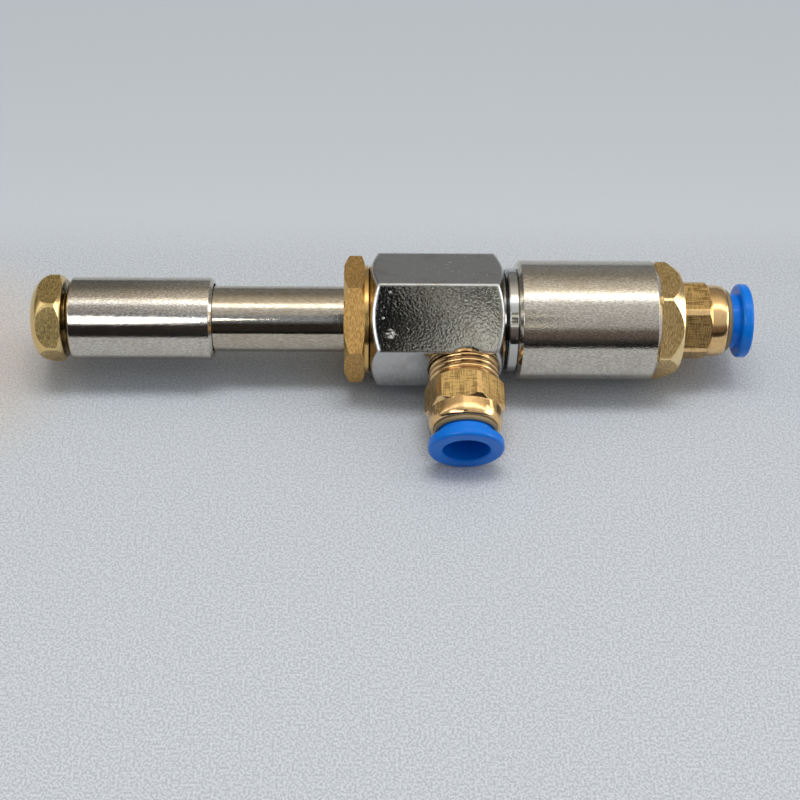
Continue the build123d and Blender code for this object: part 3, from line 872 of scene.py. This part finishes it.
# %% Take out the plain wall
def into_lathe(axis):
    """The matrix that turns an axis to Z, and metres to millimetres."""
    side = axis.orthogonal().normalized()
    turned = Matrix((side, axis.cross(side), axis)).to_4x4() * (1 / mm)
    turned[3][3] = 1
    return turned


def copy_with_shading(node):
    """A copy of a node's mesh that carries its normals as a value on its corners."""
    plain = nodes[node].data.copy()
    shading = [component for corner in plain.corner_normals for component in corner.vector]
    carried = plain.attributes.new("cad_shading", "FLOAT_VECTOR", "CORNER")
    carried.data.foreach_set("vector", shading)
    return plain


def open_shank(shape, thread):
    """Deletes the plain wall. Returns the edges of the low and of the high rim."""
    wall = [
        face for face in shape.faces
        if abs(face.normal.z) < 0.3 and all(thread.on_shank(vertex.co) for vertex in face.verts)
    ]
    print("faces of the plain wall:", len(wall))
    bmesh.ops.delete(shape, geom=wall, context="FACES")
    rims = [edge for edge in shape.edges if len(edge.link_faces) == 1]
    for edge in rims:
        edge.smooth = False
    half_way = (thread.start + thread.end) / 2
    low_rim = [edge for edge in rims if edge.verts[0].co.z < half_way]
    high_rim = [edge for edge in rims if edge.verts[0].co.z > half_way]
    return low_rim, high_rim


# %% [markdown]
# The finer wall goes in ring by ring, fourteen rings to a turn, as a lathe's cutter would pass, and
# is bridged to the two rims.

# %% Put in the threaded wall
points_round = 72
rings_per_turn = 14


def thread_rings(shape, thread):
    """New points for each ring of the thread, from its start to its end."""
    length = thread.end - thread.start
    ring_count = round(length / thread.pitch * rings_per_turn)
    rings = []
    for step in range(1, ring_count):
        height = thread.start + length * step / ring_count
        ring = []
        for point in range(points_round):
            share = point / points_round
            reach = thread.reach(height, share)
            place = reach * cos(2 * pi * share), reach * sin(2 * pi * share), height
            ring.append(shape.verts.new(place))
        rings.append(ring)
    return rings


def wind_wall(shape, thread, low_rim, high_rim):
    """Faces between the rings, and from the first and the last ring to the rims."""
    rings = thread_rings(shape, thread)
    turned_on = list(range(1, points_round)) + [0]
    fresh = []
    for lower, upper in zip(rings, rings[1:]):
        for here, after in enumerate(turned_on):
            fresh.append(shape.faces.new((lower[here], lower[after], upper[after], upper[here])))
    for rim, ring in ((low_rim, rings[0]), (high_rim, rings[-1])):
        ring_edges = [shape.edges.get((ring[here], ring[after])) for here, after in enumerate(turned_on)]
        fresh += bmesh.ops.bridge_loops(shape, edges=rim + ring_edges)["faces"]
    print("rings of thread:", len(rings))
    return fresh


# %% [markdown]
# The new piece gets its normals back: the CAD's where they were carried, and smooth ones on the
# fresh faces, which a zero normal asks for. It rides on the body of its node and stands for it.

# %% Cut the threads
def cut_thread(name, node, body, thread):
    """Replaces a node by a copy with a thread on its shank."""
    shape = bmesh.new()
    shape.from_mesh(copy_with_shading(node))
    lathe = into_lathe(thread.axis)
    shape.transform(lathe)
    bmesh.ops.remove_doubles(shape, verts=shape.verts, dist=0.0005)
    shape.normal_update()
    fresh = wind_wall(shape, thread, *open_shank(shape, thread))
    shading_layer = shape.loops.layers.float_vector["cad_shading"]
    for face in fresh:
        face.smooth = True
        for corner in face.loops:
            corner[shading_layer] = (0, 0, 0)
    bmesh.ops.recalc_face_normals(shape, faces=shape.faces)
    shape.transform(lathe.inverted())

    mesh = bpy.data.meshes.new(name)
    shape.to_mesh(mesh)
    shape.free()
    kept = [tuple(corner.vector) for corner in mesh.attributes["cad_shading"].data]
    mesh.normals_split_custom_set(kept)
    mesh.attributes.remove(mesh.attributes["cad_shading"])
    mesh.materials.clear()
    mesh.materials.append(nodes[node].data.materials[0])
    piece = bpy.data.objects.new(name, mesh)
    scene.collection.objects.link(piece)
    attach(piece, body)
    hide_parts(node)
    print(name, "has", len(mesh.polygons), "faces")


cut_thread("inlet_threaded_body", "inlet_fitting_body", "housing", inlet_thread)
cut_thread("threaded_regulating_plug", "regulating_plug", "valve_plug", plug_thread)

# %% [markdown]
